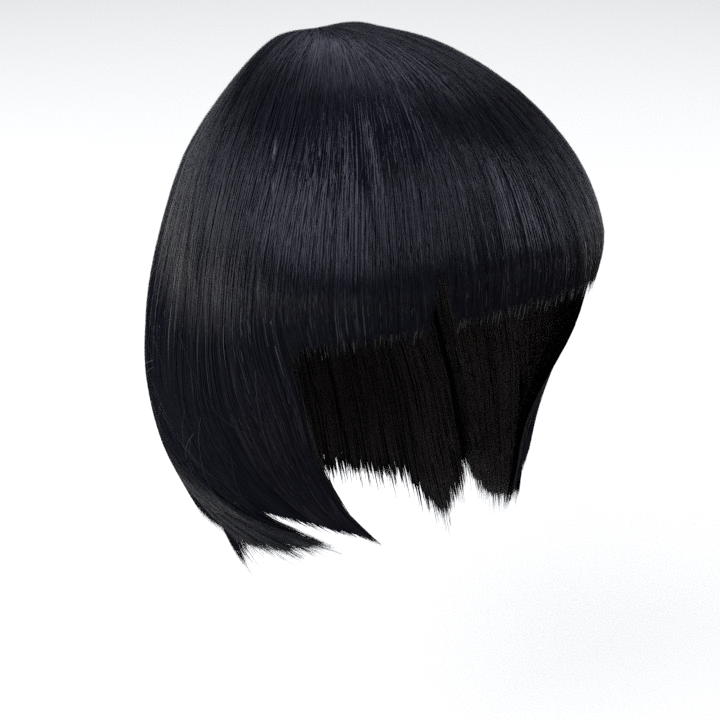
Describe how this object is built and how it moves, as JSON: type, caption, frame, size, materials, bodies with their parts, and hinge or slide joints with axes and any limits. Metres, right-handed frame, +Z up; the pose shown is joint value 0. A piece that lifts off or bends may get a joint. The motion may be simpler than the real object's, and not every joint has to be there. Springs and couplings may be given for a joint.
{
  "type": "bob wig with a full fringe",
  "caption": "Chin-length straight bob wig with a full fringe: hair sections sewn over a thin dome cap, open below and in front for the head, neck and face.",
  "frame": {"origin": "inside of the cap's crown, where the wig rests on the top of the wearer's head", "axes": "+Z up, -Y the way the wearer faces, +X the wearer's left"},
  "size_m": [0.1856, 0.2246, 0.258],
  "materials": {
    "hair": "straight jet-black synthetic fibre with a soft blue-grey sheen",
    "cap_net": "matt black stretch net"
  },
  "bodies": {
    "root": {"wig_cap": "cap_net", "crown_whorl": "hair", "fringe": "hair", "side_hair_left": "hair", "swept_hair_left": "hair", "back_hair": "hair", "swept_hair_right": "hair", "side_hair_right": "hair", "nape_lock_left": "hair", "nape_hair": "hair", "nape_lock_right": "hair"}
  },
  "joints": []
}
